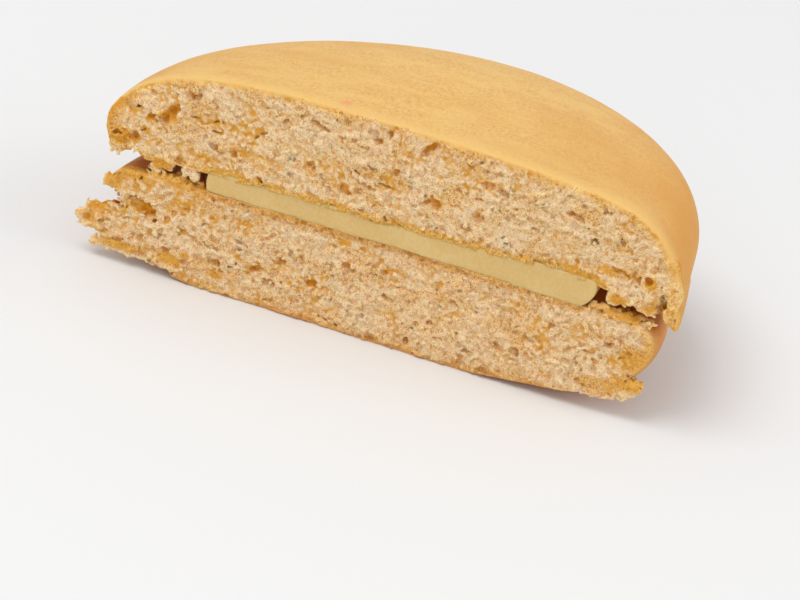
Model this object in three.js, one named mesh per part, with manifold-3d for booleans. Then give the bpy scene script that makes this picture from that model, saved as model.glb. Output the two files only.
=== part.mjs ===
// Half of a banana sandwich cookie, cut through the middle: two soft round cakes with a disc of banana
// cream between them. The cut face looks along -Y, the domed crust is on top, and the part rests on the
// flat underside of the lower cake. Millimetres, +Z up. The origin lies on that underside, below the
// middle of the cut and ORIGIN_BACK behind it.
import * as THREE from "three";
import { mergeVertices } from "three/addons/utils/BufferGeometryUtils.js";
import Module from "manifold-3d";

const wasm = await Module();
wasm.setup();

// ---- Driving dimensions -------------------------------------------------------------------------
const ORIGIN_BACK = 15; // the cut plane is at y = -ORIGIN_BACK
const CUT_Y = -ORIGIN_BACK;
const SEAT_GAP = 0.3; // clearance between a cake and the cream, so that the solids never overlap
const ROUND_STEPS = 72; // facets round a full disc

// The lower cake: flat below, round edge, widest near its top.
const LOWER = {
  x: -1.8, // its axis, across the cut
  y: CUT_Y + 1.2, // its axis, behind the cut
  radius: 36.9,
  flatRadius: 22, // the flat underside that it rests on
  wideZ: 9.3, // height of its widest ring
  topZ: 13.8,
  shoulder: 3.0, // how far in the top edge is rounded
};

// The cream disc, squeezed thinner at the left end of the cut.
const CREAM = {
  x: 0.8,
  y: CUT_Y + 1.2,
  radius: 26.1,
  bottomZ: LOWER.topZ + SEAT_GAP,
  thickness: 2.8,
  bulgeZ: 1.6, // height of its widest ring above its own underside
  tilt: 0.026, // rise of its top per millimetre along X
  faceBack: 0.6, // how far behind the cut plane its smooth cut face lies
};
CREAM.topZ = CREAM.bottomZ + CREAM.thickness;

// The upper cake: domed, with a rim that droops past the cream.
const UPPER = {
  x: 0,
  y: CUT_Y,
  radius: 38,
  seatZ: CREAM.topZ + SEAT_GAP,
  seatRadius: 26.8, // underside that lies on the cream
  rimZ: 15.5, // lowest edge of the drooping rim
  rimRadius: 37.5,
  lip: 1.9, // radius of the rim's lower edge
  domeZ: 18.6, // where the side wall turns into the dome
  crownZ: 30.0, // top of the dome
  domePower: 3.6, // how flat the middle of the dome is
  shoulderPower: 2.0, // how round its shoulder is
};

// How the upper cake departs from a turned shape: harmonics of its outline, then the lean of the dome.
const OUTLINE = { cos1: -0.011, cos2: 0.008, cos3: -0.034, sin1: 0.068 };
const PINCH = { depth: 0.014, angle: 14, width: 24 }; // drawn in near the right end of the cut, degrees
const LEAN = { right: -0.025, back: 0.063, corner: -0.077 };
const RIM_HANG = { drop: 2.4, start: 31, reach: 12 }; // the crust hangs lower at the right end
const RIM_FLARE = { out: 1.3, start: 30, reach: 8 }; // and it stands out there

// The left end of the lower cake, splayed out by the knife and split in two.
const FLAP = { reach: 5.2, z: 4.1, height: 2.5, depth: 9 };
const HEEL = { lift: 1.1, start: 12, end: 25, reach: 14 }; // the underside lifts at the right end

// Relief of the cut: undulation, crags, then air pockets that open on it.
const RELIEF = { step: 1.1, wave: 0.4, waveSize: 5, crag: 0.3, cragSize: 1.8, seed: 7 };
const POCKETS = { count: 64, least: 1.0, most: 1.9, depth: 0.9, halfSpan: 36, lowest: 1.5, seed: 41 };

// ---- Small tools --------------------------------------------------------------------------------
const smooth = (a, b, v) => THREE.MathUtils.smoothstep(v, a, b);
const bell = (v, width) => Math.exp(-((v / width) ** 2));

// A repeatable number from 0 to 1 for a lattice point.
function lattice(i, j, k, seed) {
  const s = Math.sin(i * 127.1 + j * 311.7 + k * 74.7 + seed * 53.3) * 43758.5453;
  return s - Math.floor(s);
}

// Smooth noise from -1 to 1, with features about one unit wide.
function noise(x, y, z, seed) {
  const cell = [x, y, z].map(Math.floor);
  const [u, v, w] = [x, y, z].map((t, n) => smooth(0, 1, t - cell[n]));
  let sum = 0;
  for (const [a, wa] of [[0, 1 - u], [1, u]])
    for (const [b, wb] of [[0, 1 - v], [1, v]])
      for (const [c, wc] of [[0, 1 - w], [1, w]])
        sum += wa * wb * wc * lattice(cell[0] + a, cell[1] + b, cell[2] + c, seed);
  return 2 * sum - 1;
}

// Moves each vertex of a geometry to place(x, y, z).
function reshape(geometry, place) {
  const p = geometry.attributes.position;
  for (let i = 0; i < p.count; i++) p.setXYZ(i, ...place(p.getX(i), p.getY(i), p.getZ(i)));
  return geometry;
}

// A closed geometry as a solid, with the seam's and the poles' vertices merged.
function solidOf(geometry) {
  const bare = new THREE.BufferGeometry().setAttribute("position", geometry.attributes.position);
  bare.setIndex(geometry.index);
  const merged = mergeVertices(bare, 1e-3);
  const kept = [];
  const index = merged.index.array;
  for (let i = 0; i < index.length; i += 3) {
    const [a, b, c] = index.slice(i, i + 3);
    if (a !== b && b !== c && c !== a) kept.push(a, b, c);
  }
  return new wasm.Manifold(
    new wasm.Mesh({
      numProp: 3,
      vertProperties: merged.attributes.position.array,
      triVerts: new Uint32Array(kept),
    }),
  );
}

// A solid as the geometry of a mesh.
function geometryOf(solid) {
  const made = solid.getMesh();
  const geometry = new THREE.BufferGeometry();
  geometry.setAttribute("position", new THREE.BufferAttribute(made.vertProperties, 3));
  geometry.setIndex(new THREE.BufferAttribute(made.triVerts, 1));
  geometry.computeVertexNormals();
  return geometry;
}

// A profile of [radius, height] turned about the vertical through the origin.
function turned(profile) {
  const points = profile.map(([r, z]) => new THREE.Vector2(Math.max(r, 0), z));
  return new THREE.LatheGeometry(points, ROUND_STEPS).rotateX(Math.PI / 2);
}

// n points of a quarter arc with half-axes rx and rz about (r, z), from angle a0 to a1 in degrees.
function arc(r, z, rx, rz, a0, a1, n) {
  return Array.from({ length: n }, (_, i) => {
    const a = THREE.MathUtils.degToRad(a0 + ((a1 - a0) * i) / (n - 1));
    return [r + rx * Math.cos(a), z + rz * Math.sin(a)];
  });
}

// ---- Profiles -----------------------------------------------------------------------------------
function lowerProfile() {
  const { radius, flatRadius, wideZ, topZ, shoulder } = LOWER;
  return [
    [0, 0],
    [flatRadius / 2, 0],
    ...arc(flatRadius, wideZ, radius - flatRadius, wideZ, -90, 0, 9),
    ...arc(radius - shoulder, wideZ, shoulder, topZ - wideZ, 0, 90, 5).slice(1),
    [flatRadius / 2, topZ],
    [0, topZ],
  ];
}

function creamProfile() {
  const { radius, bottomZ, topZ, thickness, bulgeZ } = CREAM;
  const edge = 1.3; // how far in the rim is rounded
  return [
    [0, bottomZ],
    [radius / 2, bottomZ],
    ...arc(radius - edge, bottomZ + bulgeZ, edge, bulgeZ, -90, 0, 4),
    ...arc(radius - edge, bottomZ + bulgeZ, edge, thickness - bulgeZ, 0, 90, 4).slice(1),
    [radius / 2, topZ],
    [0, topZ],
  ];
}

function upperProfile() {
  const { radius, seatZ, seatRadius, rimZ, rimRadius, lip, domeZ, crownZ } = UPPER;
  const droop = [1, 2, 3].map((n) => [
    THREE.MathUtils.lerp(seatRadius, rimRadius - lip, n / 4),
    THREE.MathUtils.lerp(seatZ, rimZ, smooth(0, 1, n / 4)),
  ]);
  const dome = [0.998, 0.99, 0.97, 0.94, 0.9, 0.85, 0.78, 0.7, 0.6, 0.48, 0.33, 0.16, 0].map((s) => [
    s * radius,
    domeZ + (crownZ - domeZ) * (1 - s ** UPPER.domePower) ** (1 / UPPER.shoulderPower),
  ]);
  return [
    [0, seatZ],
    [seatRadius / 2, seatZ],
    [seatRadius, seatZ],
    ...droop,
    ...arc(rimRadius - lip, rimZ + lip, lip, lip, -90, 0, 5),
    [radius, domeZ],
    ...dome,
  ];
}

// ---- The pieces' own shapes ---------------------------------------------------------------------
// Where a point of the turned lower cake goes: the heel lifts, and the left end splays out.
function placeLower(x, y, z) {
  const back = y + LOWER.y - CUT_Y;
  const flap = x < 0 ? FLAP.reach * bell(z - FLAP.z, FLAP.height) * bell(back, FLAP.depth) : 0;
  const outer = smooth(0.6, 1, Math.hypot(x, y) / LOWER.radius) * smooth(0, 0.8, -x / LOWER.radius);
  const heel = HEEL.lift * smooth(HEEL.start, HEEL.end, x) * bell(back, HEEL.reach);
  return [LOWER.x + x - flap * outer, LOWER.y + y, z + heel * (1 - z / LOWER.topZ)];
}

// Where a point of the turned cream disc goes: its top tilts.
function placeCream(x, y, z) {
  const rise = CREAM.tilt * x * ((z - CREAM.bottomZ) / CREAM.thickness);
  return [CREAM.x + x, CREAM.y + y, z + rise];
}

// How far out the upper cake's edge lies at an angle from +X, as a share of its radius.
function outline(angle) {
  const { cos1, cos2, cos3, sin1 } = OUTLINE;
  const waves = cos1 * Math.cos(angle) + cos2 * Math.cos(2 * angle) + cos3 * Math.cos(3 * angle);
  const pinch = PINCH.depth * bell(THREE.MathUtils.radToDeg(angle) - PINCH.angle, PINCH.width);
  return 1 + waves + sin1 * Math.sin(angle) - pinch;
}

// Where a point of the turned upper cake goes: uneven outline, leaning dome, tilted seat, hanging rim.
function placeUpper(x, y, z) {
  const { radius, seatZ, seatRadius, rimRadius, domeZ } = UPPER;
  const k = outline(Math.atan2(Math.abs(y), x));
  const [px, py] = [x * k, y * k];
  const [u, v] = [px / radius, Math.abs(py) / radius];
  const lean = 1 + LEAN.right * u + LEAN.back * v + LEAN.corner * u * v;
  const seat = CREAM.tilt * px * (1 - smooth(seatRadius, rimRadius, Math.hypot(x, y)));
  const atEnd = smooth(RIM_HANG.start, rimRadius, px) * bell(py, RIM_HANG.reach);
  const lowered = seat - RIM_HANG.drop * atEnd;
  const low = 1 - smooth(domeZ - 2, domeZ + 5, z);
  const flare = RIM_FLARE.out * smooth(RIM_FLARE.start, rimRadius, px) * bell(py, RIM_FLARE.reach) * low;
  const dz = z > domeZ ? (z - domeZ) * (lean - 1) : lowered * (1 - smooth(seatZ + 0.1, domeZ, z));
  return [UPPER.x + px + flare, UPPER.y + py, z + dz];
}

// ---- The knife ----------------------------------------------------------------------------------
// Air pockets that the cut has opened: flattened bowls, seeded.
function pockets() {
  const { count, least, most, depth, halfSpan, lowest, seed } = POCKETS;
  return Array.from({ length: count }, (_, n) => {
    const size = THREE.MathUtils.lerp(least, most, lattice(n, 2, 0, seed) ** 2);
    return {
      x: THREE.MathUtils.lerp(-halfSpan, halfSpan, lattice(n, 0, 0, seed)),
      z: THREE.MathUtils.lerp(lowest, UPPER.crownZ - lowest, lattice(n, 1, 0, seed)),
      wide: size * 1.4,
      high: size * 0.8,
      depth: (depth * size) / most,
    };
  });
}

// How far behind the cut plane the crumb's face lies at (x, z).
function relief(x, z, bowls) {
  const { wave, waveSize, crag, cragSize, seed } = RELIEF;
  const slow = wave * (1 + noise(x / waveSize, 0, z / waveSize, seed));
  const quick = crag * (1 + noise(x / cragSize, 5, z / cragSize, seed));
  let deepest = 0;
  for (const b of bowls) {
    const inside = 1 - ((x - b.x) / b.wide) ** 2 - ((z - b.z) / b.high) ** 2;
    if (inside > 0) deepest = Math.max(deepest, b.depth * Math.sqrt(inside));
  }
  return slow + quick + deepest;
}

// A block that takes away everything in front of the cut. Its back lies depthAt(x, z) behind the plane.
function knife(depthAt, step) {
  const [wide, deep, high, below] = [100, 60, 40, 3];
  const block = new THREE.BoxGeometry(wide, deep, high, Math.round(wide / step), 1, Math.round(high / step));
  block.translate(0, CUT_Y - deep / 2, high / 2 - below);
  return solidOf(reshape(block, (x, y, z) => [x, y > CUT_Y - 1 ? y + depthAt(x, z) : y, z]));
}

// ---- Tears and lumps ----------------------------------------------------------------------------
// A craggy lump or bite: a ball of half-axes (rx, ry, rz) at (x, back, z), back measured from the cut.
function crag([x, back, z, rx, ry, rz], seed, detail = 2) {
  const ball = new THREE.IcosahedronGeometry(1, detail);
  return solidOf(
    reshape(ball, (a, b, c) => {
      const r = 1 + 0.22 * noise(a * 2.3 + 9, b * 2.3, c * 2.3, seed);
      return [x + rx * r * a, CUT_Y + back + ry * r * b, z + rz * r * c];
    }),
  );
}

const total = (pieces) => pieces.reduce((a, b) => a.add(b));

// The mouth between the lip and the flap at the left end, and the split that runs in from it.
const LOWER_BITES = [
  [-41.0, 0, 9.4, 4.6, 6.0, 1.15],
  [-34.2, 0, 9.2, 2.6, 3.2, 0.8],
  [-31.6, 0, 8.1, 1.3, 2.6, 0.9],
  [-40.6, 0, 3.3, 1.6, 2.4, 0.5],
];
// Loose crumb on the lower cake's torn left end.
const LOWER_LUMPS = [
  [-37.8, 2.0, 11.4, 1.4, 2.2, 1.1],
  [-39.8, 2.2, 5.6, 1.9, 2.6, 1.7],
  [-37.0, 2.2, 3.2, 3.1, 2.4, 0.9],
];
// Crumb torn out between the upper cake's middle and the strip of crust that hangs at its right end,
// a tear above the cream's right end, and the torn corner at the left end.
const UPPER_BITES = [
  [35.2, 0, 15.4, 0.7, 4.5, 2.4],
  [30.2, 0, 19.6, 2.0, 1.5, 0.8],
  [-36.2, 0, 15.4, 1.5, 4.0, 1.0],
];
// Crumb that hangs from the upper cake into the gap beside the cream.
const UPPER_LUMPS = [
  [-31.2, 2.0, 16.1, 1.8, 1.8, 1.5],
  [-28.2, 2.0, 16.2, 1.3, 1.8, 1.4],
  [30.0, 2.0, 16.2, 1.5, 1.8, 1.5],
  [32.8, 2.2, 16.3, 1.4, 1.8, 1.4],
];

// ---- The three pieces ---------------------------------------------------------------------------
const bowls = pockets();
const crumbKnife = knife((x, z) => relief(x, z, bowls), RELIEF.step);
const creamKnife = knife(() => CREAM.faceBack, 20);

function lowerCake() {
  const whole = solidOf(reshape(turned(lowerProfile()), placeLower));
  const lumps = total(LOWER_LUMPS.map((c, n) => crag(c, n + 3)));
  const bites = total(LOWER_BITES.map((c, n) => crag(c, n + 11)));
  return whole.add(lumps).subtract(bites).subtract(crumbKnife);
}

function cream() {
  return solidOf(reshape(turned(creamProfile()), placeCream)).subtract(creamKnife);
}

function upperCake() {
  const whole = solidOf(reshape(turned(upperProfile()), placeUpper));
  const lumps = total(UPPER_LUMPS.map((c, n) => crag(c, n + 23)));
  const bites = total(UPPER_BITES.map((c, n) => crag(c, n + 37)));
  return whole.add(lumps).subtract(bites).subtract(crumbKnife);
}

// The largest body of a solid, without scraps that a cut may have freed.
function withoutScraps(solid) {
  return solid.decompose().sort((a, b) => b.volume() - a.volume())[0];
}

const crust = new THREE.MeshStandardMaterial({ color: 0xe2b06a, roughness: 0.75, metalness: 0 });
const crumb = new THREE.MeshStandardMaterial({ color: 0xdcb988, roughness: 0.9, metalness: 0 });
const filling = new THREE.MeshStandardMaterial({ color: 0xdfc27c, roughness: 0.45, metalness: 0 });

const cookie = new THREE.Group();
for (const [name, solid, material] of [
  ["lower_cake", lowerCake(), crumb],
  ["cream_filling", cream(), filling],
  ["upper_cake", upperCake(), crust],
]) {
  const mesh = new THREE.Mesh(geometryOf(withoutScraps(solid)), material);
  mesh.name = name;
  cookie.add(mesh);
}

export default cookie;
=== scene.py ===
# %% [markdown]
# # Half of a banana sandwich cookie
# Two soft round cakes hold a disc of pale banana cream, and a knife has cut the whole through the
# middle. What makes it look real is the cut: an open, slightly torn crumb with air pockets of very
# uneven size, under a thin satin crust. We carve that crumb as a solid, the way a sculptor would:
# every piece starts as a field of distances, pockets and tears are taken out of the field, and its
# zero level becomes the mesh.

import bpy
import numpy as np
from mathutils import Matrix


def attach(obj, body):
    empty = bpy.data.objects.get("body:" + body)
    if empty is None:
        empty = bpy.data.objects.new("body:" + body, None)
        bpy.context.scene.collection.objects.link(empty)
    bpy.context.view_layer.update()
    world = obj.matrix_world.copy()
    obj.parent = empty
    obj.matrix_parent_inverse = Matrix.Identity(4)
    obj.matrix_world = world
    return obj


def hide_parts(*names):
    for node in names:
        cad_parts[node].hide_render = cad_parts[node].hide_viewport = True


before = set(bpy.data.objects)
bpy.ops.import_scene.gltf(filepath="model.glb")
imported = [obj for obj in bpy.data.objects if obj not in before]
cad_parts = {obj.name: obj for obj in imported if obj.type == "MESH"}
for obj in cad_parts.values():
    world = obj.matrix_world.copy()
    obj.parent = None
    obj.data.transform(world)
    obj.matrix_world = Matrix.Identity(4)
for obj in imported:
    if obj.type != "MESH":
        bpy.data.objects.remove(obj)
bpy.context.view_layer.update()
MM = 0.001
rng = np.random.default_rng(20)

# %% [markdown]
# ## Driving dimensions
# The named sizes that drive the shapes, in millimetres. The three pieces follow the sizes of the
# solids. The small rows below them bend the pieces: an uneven outline, a hanging rim, a splayed end.
# The cut looks along -Y, Z is up, and the lower cake rests on z = 0.

# %% Sizes
CUT_Y = -15.0

LOWER = dict(x=-1.8, y=CUT_Y + 1.2, radius=36.9, flat=22.0, wide_z=9.3, top_z=13.4, shoulder=3.0)
CREAM = dict(x=0.8, y=CUT_Y + 1.2, radius=26.1, bottom_z=13.4, thick=3.45, bulge_z=1.8)
CREAM.update(face_y=CUT_Y + 0.55, undercut=1.6)
UPPER = dict(radius=38.0, seat_z=16.5, seat_radius=26.8, rim_z=15.5, rim_radius=37.5, lip=1.9)
UPPER.update(dome_z=18.6, crown_z=30.0, dome_power=3.6, shoulder_power=2.0)

OUTLINE = dict(cos1=-0.011, cos2=0.008, cos3=-0.034, sin1=0.068)
PINCH = dict(depth=0.014, angle=14.0, width=24.0)
LEAN = dict(right=-0.025, back=0.063, corner=-0.077)
CROWN = dict(rise=0.6, reach=24.0)
RISE = dict(tilt=0.012, hump=0.45, x=19.5, width=5.5)
RIM_HANG = dict(drop=4.6, start=33.4, reach=10.0)
RIM_FLARE = dict(out=1.3, start=30.0, reach=8.0)
RIM_TUCK = dict(depth=0.5, start=-28.0, reach=14.0)
DENTS = [dict(depth=0.35, x=-20.0, back=13.0, reach=13.0), dict(depth=-1.3, x=32.0, back=0.0, reach=7.0)]
FLAP = dict(reach=5.5, z=4.3, height=2.6, depth=4.2)
SIDE_TUCK = dict(depth=1.0, reach=1.8, start=28.0, end=35.0)
SIDE_BULGE = dict(out=0.9, z=12.6, height=3.0, reach=14.0)
HEEL = dict(lift=1.1, start=12.0, end=25.0, reach=14.0)
print("cream", 2 * CREAM["radius"], "mm across; crown at", UPPER["crown_z"], "mm")

# %% [markdown]
# ## Camera
# A long lens from the front right, looking down by 26 degrees. The camera is rolled, which shows the
# flat-lying half at the slant it has in the picture.

# %% Camera
from mathutils import Matrix, Vector

AZIMUTH, ELEVATION, ROLL = np.radians([18.058, 25.955, 8.753])
DISTANCE = 420.0
PIXEL_FOCAL = 3423.0
AIM_POINT = np.array([0.0, CUT_Y, 18.3])
AIM_PIXEL = (392.95, 215.65)
WIDTH, HEIGHT, SENSOR = 800, 600, 36.0

back = np.array([np.sin(AZIMUTH), -np.cos(AZIMUTH), np.tan(ELEVATION)]) * np.cos(ELEVATION)
level = np.cross([0, 0, 1], back)
level /= np.linalg.norm(level)
upright = np.cross(back, level)
across = np.cos(ROLL) * level + np.sin(ROLL) * upright
upward = np.cos(ROLL) * upright - np.sin(ROLL) * level

eye = AIM_POINT + DISTANCE * back
shift = (WIDTH / 2 - AIM_PIXEL[0]) * across - (HEIGHT / 2 - AIM_PIXEL[1]) * upward
look_at = AIM_POINT + shift * DISTANCE / PIXEL_FOCAL
away = Vector(eye - look_at).normalized()
side = Vector(upward).cross(away).normalized()

lens = bpy.data.cameras.new("camera")
lens.sensor_width = SENSOR
lens.lens = PIXEL_FOCAL * SENSOR / WIDTH
lens.clip_start = 0.01
camera = bpy.data.objects.new("camera", lens)
turn = Matrix((side, away.cross(side), away)).transposed().to_4x4()
camera.matrix_world = Matrix.Translation(Vector(eye) * MM) @ turn
bpy.context.scene.collection.objects.link(camera)
bpy.context.scene.camera = camera
print("camera at", [round(v) for v in eye], "mm, lens", round(lens.lens), "mm")

# %% [markdown]
# ## Studio
# A plain pale floor and soft light: a wide key lamp from the upper left, two weaker lamps that fill
# from the front and the right, and an even white room.

# %% Floor, room and lights
bpy.context.scene.view_settings.view_transform = "Standard"


def new_object(name, mesh):
    thing = bpy.data.objects.new(name, mesh)
    bpy.context.scene.collection.objects.link(thing)
    return thing


def new_material(name):
    material = bpy.data.materials.new(name)
    material.use_nodes = True
    return material, material.node_tree.nodes, material.node_tree.links


FLOOR_HALF = 3.0
floor_mesh = bpy.data.meshes.new("floor")
corners = [(x * FLOOR_HALF, y * FLOOR_HALF, 0) for x, y in ((-1, -1), (1, -1), (1, 1), (-1, 1))]
floor_mesh.from_pydata(corners, [], [(0, 1, 2, 3)])
floor = new_object("floor", floor_mesh)
floor_look, nodes, links = new_material("pale floor")
nodes["Principled BSDF"].inputs["Base Color"].default_value = (0.8, 0.8, 0.8, 1)
nodes["Principled BSDF"].inputs["Roughness"].default_value = 0.9
nodes["Principled BSDF"].inputs["Specular IOR Level"].default_value = 0.1
floor_mesh.materials.append(floor_look)

room = bpy.data.worlds.new("white room")
room.use_nodes = True
room.node_tree.nodes["Background"].inputs["Color"].default_value = (1, 1, 1, 1)
room.node_tree.nodes["Background"].inputs["Strength"].default_value = 0.66
bpy.context.scene.world = room


def soft_light(name, where, size, watts):
    lamp = bpy.data.lights.new(name, "AREA")
    lamp.size = size
    lamp.energy = watts
    light = new_object(name, lamp)
    light.location = where
    light.rotation_euler = (-Vector(where)).to_track_quat("-Z", "Y").to_euler()
    return light


soft_light("key", (-0.25, -0.25, 0.85), 0.55, 3.6)
soft_light("front fill", (0.15, -0.9, 0.35), 0.6, 1.0)
soft_light("right fill", (0.8, 0.1, 0.5), 0.5, 1.6)
print("floor, room and three soft lights")

# %% [markdown]
# ## Noise on a grid
# Dough is uneven at every scale. This value noise is drawn on a coarse random lattice and spread over
# the fine grid axis by axis. Because the axes separate, a grid of millions of points costs only three
# small matrix products.


# %% Smooth steps and noise
def smooth(a, b, v):
    t = np.clip((v - a) / (b - a), 0, 1)
    return t * t * (3 - 2 * t)


def bell(v, width):
    return np.exp(-((v / width) ** 2))


def spread(axis, size):
    """Weights that carry a lattice of this spacing to each point of an axis."""
    t = (axis - axis[0]) / size + 1
    cell = np.floor(t).astype(int)
    f = (t - cell)[:, None]
    weights = np.zeros((len(axis), cell.max() + 3), np.float32)
    cubic = ((1 - f) ** 3, 3 * f**3 - 6 * f**2 + 4, -3 * f**3 + 3 * f**2 + 3 * f + 1, f**3)
    for k, w in enumerate(cubic):
        np.add.at(weights, (np.arange(len(axis)), cell - 1 + k), w[:, 0] / 6)
    return weights


def noise(axes, size, stretch=1.0):
    """Noise of about -1 to 1 on a grid, with lumps of this size, stretched along X."""
    wx, wy, wz = (spread(a, s) for a, s in zip(axes, (size * stretch, size, size)))
    lattice = rng.uniform(-1, 1, (wx.shape[1], wy.shape[1], wz.shape[1])).astype(np.float32)
    part = np.tensordot(wx, lattice, (1, 0))
    part = np.tensordot(part, wy, (1, 1))
    return 2.1 * np.tensordot(part, wz, (1, 1))


print("noise ready")

# %% [markdown]
# ## Turned profiles
# Each cake and the cream is a profile turned about its axis, like a pot on a wheel. We tabulate the
# signed distance to the profile once, in radius and height, and look it up for any point.


# %% Profiles
def arc(r, z, rx, rz, start, end, count=24):
    a = np.radians(np.linspace(start, end, count))
    return [(r + rx * np.cos(t), z + rz * np.sin(t)) for t in a]


def lower_profile():
    d = LOWER
    inner = d["radius"] - d["shoulder"]
    return [
        (0, 0),
        *arc(d["flat"], d["wide_z"], d["radius"] - d["flat"], d["wide_z"], -90, 0),
        *arc(inner, d["wide_z"], d["shoulder"], d["top_z"] - d["wide_z"], 0, 90),
        (0, d["top_z"]),
    ]


def cream_profile():
    d = CREAM
    edge = 0.4
    bulge = d["bottom_z"] + d["bulge_z"]
    return [
        (0, d["bottom_z"]),
        *arc(d["radius"] - edge, bulge, edge, d["bulge_z"], -90, 0),
        *arc(d["radius"] - edge, bulge, edge, d["thick"] - d["bulge_z"], 0, 90),
        (0, d["bottom_z"] + d["thick"]),
    ]


def upper_profile():
    d = UPPER
    inner = d["rim_radius"] - d["lip"]
    t = np.linspace(0, 0.85, 12)
    droop_r = d["seat_radius"] + t * (inner - d["seat_radius"])
    droop_z = d["seat_z"] + (d["rim_z"] - d["seat_z"]) * smooth(0, 1, t)
    s = np.cos(np.linspace(0.02, np.pi / 2, 60))
    rise = d["crown_z"] - d["dome_z"]
    dome_z = d["dome_z"] + rise * (1 - s ** d["dome_power"]) ** (1 / d["shoulder_power"])
    return [
        (0, d["seat_z"]),
        *zip(droop_r, droop_z),
        *arc(inner, d["rim_z"] + d["lip"], d["lip"], d["lip"], -90, 0),
        (d["radius"], d["dome_z"]),
        *zip(s * d["radius"], dome_z),
    ]


print(len(upper_profile()), "points in the upper cake's profile")

# %% [markdown]
# A signed distance is negative inside and positive outside. With it, joining two shapes is a minimum,
# cutting one out of another is a maximum, and a rounded edge costs one more line.

# %% Distance to a profile
TABLE_STEP = 0.12


def turned(profile):
    """A function of radius and height: the distance to the profile, below zero inside."""
    pts = np.array(profile)
    low = pts[:, 1].min() - 4
    radii = np.arange(0, pts[:, 0].max() + 6, TABLE_STEP)
    heights = np.arange(low, pts[:, 1].max() + 4, TABLE_STEP)
    r, z = np.meshgrid(radii, heights, indexing="ij")
    nearest = np.full(r.shape, 1e9)
    crossings = np.zeros(r.shape, int)
    for (r0, z0), (r1, z1) in zip(pts[:-1], pts[1:]):
        dr, dz = r1 - r0, z1 - z0
        along = np.clip(((r - r0) * dr + (z - z0) * dz) / max(dr * dr + dz * dz, 1e-12), 0, 1)
        nearest = np.minimum(nearest, np.hypot(r - r0 - along * dr, z - z0 - along * dz))
        if abs(dz) > 1e-9:
            spans = (z0 > z) != (z1 > z)
            crossings += spans & (r < r0 + (z - z0) / dz * dr)
    table = np.where(crossings % 2 == 1, -nearest, nearest).astype(np.float32)

    def distance(radius, height):
        i = np.clip(radius / TABLE_STEP, 0, len(radii) - 1.001)
        j = np.clip((height - low) / TABLE_STEP, 0, len(heights) - 1.001)
        i, j = np.broadcast_arrays(i, j)
        a, b = i.astype(np.int32), j.astype(np.int32)
        u, v = i - a, j - b
        top = table[a, b] * (1 - v) + table[a, b + 1] * v
        return top * (1 - u) + (table[a + 1, b] * (1 - v) + table[a + 1, b + 1] * v) * u

    return distance


lower_turned = turned(lower_profile())
cream_turned = turned(cream_profile())
upper_turned = turned(upper_profile())
print("distance tables ready")

# %% [markdown]
# ## Shapes of the three pieces
# Real cakes aren't turned on a wheel: the upper one leans and has an uneven outline, its rim hangs at
# one end, and the knife has splayed the lower one's left end. Each function undoes that bending for a
# point, and then asks the turned profile.


# %% Lower cake, cream and upper cake
def crown(x, y):
    """How far the lower cake swells under the cream."""
    return CROWN["rise"] * bell(np.hypot(x, y - CUT_Y), CROWN["reach"])


def rise(x):
    """How far the cream's upper side climbs along the cut."""
    return RISE["tilt"] * x + RISE["hump"] * bell(x - RISE["x"], RISE["width"])


def lower_body(x, y, z):
    d = LOWER
    px, py = x - d["x"], y - d["y"]
    depth = bell(y - CUT_Y, FLAP["depth"])
    level = bell(z - FLAP["z"], FLAP["height"])
    source = px
    for _ in range(3):
        outer = smooth(0.6, 1, np.hypot(source, py) / d["radius"]) * smooth(0, 0.8, -source / d["radius"])
        source = px + FLAP["reach"] * depth * level * outer
    tuck = SIDE_TUCK["depth"] * bell(y - CUT_Y, SIDE_TUCK["reach"])
    bulge = SIDE_BULGE["out"] * bell(z - SIDE_BULGE["z"], SIDE_BULGE["height"])
    bulge = bulge * bell(y - CUT_Y, SIDE_BULGE["reach"])
    source = source + (tuck - bulge) * smooth(SIDE_TUCK["start"], SIDE_TUCK["end"], px)
    heel = HEEL["lift"] * smooth(HEEL["start"], HEEL["end"], px) * bell(y - CUT_Y, HEEL["reach"])
    top = d["top_z"] + crown(x, y)
    height = (z - heel) / (top - heel) * d["top_z"]
    return lower_turned(np.hypot(source, py), height)


def cream_body(x, y, z):
    d = CREAM
    px, py = x - d["x"], y - d["y"]
    share = np.clip((z - d["bottom_z"]) / d["thick"], 0, 1.2)
    undercut = d["undercut"] * (1 - share) ** 2 * smooth(0, 20, px)
    under = 0.7 * crown(x, y) * np.clip(1 - share, 0, 1)
    return cream_turned(np.hypot(px, py) + undercut, z - rise(px) * share - under)


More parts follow.
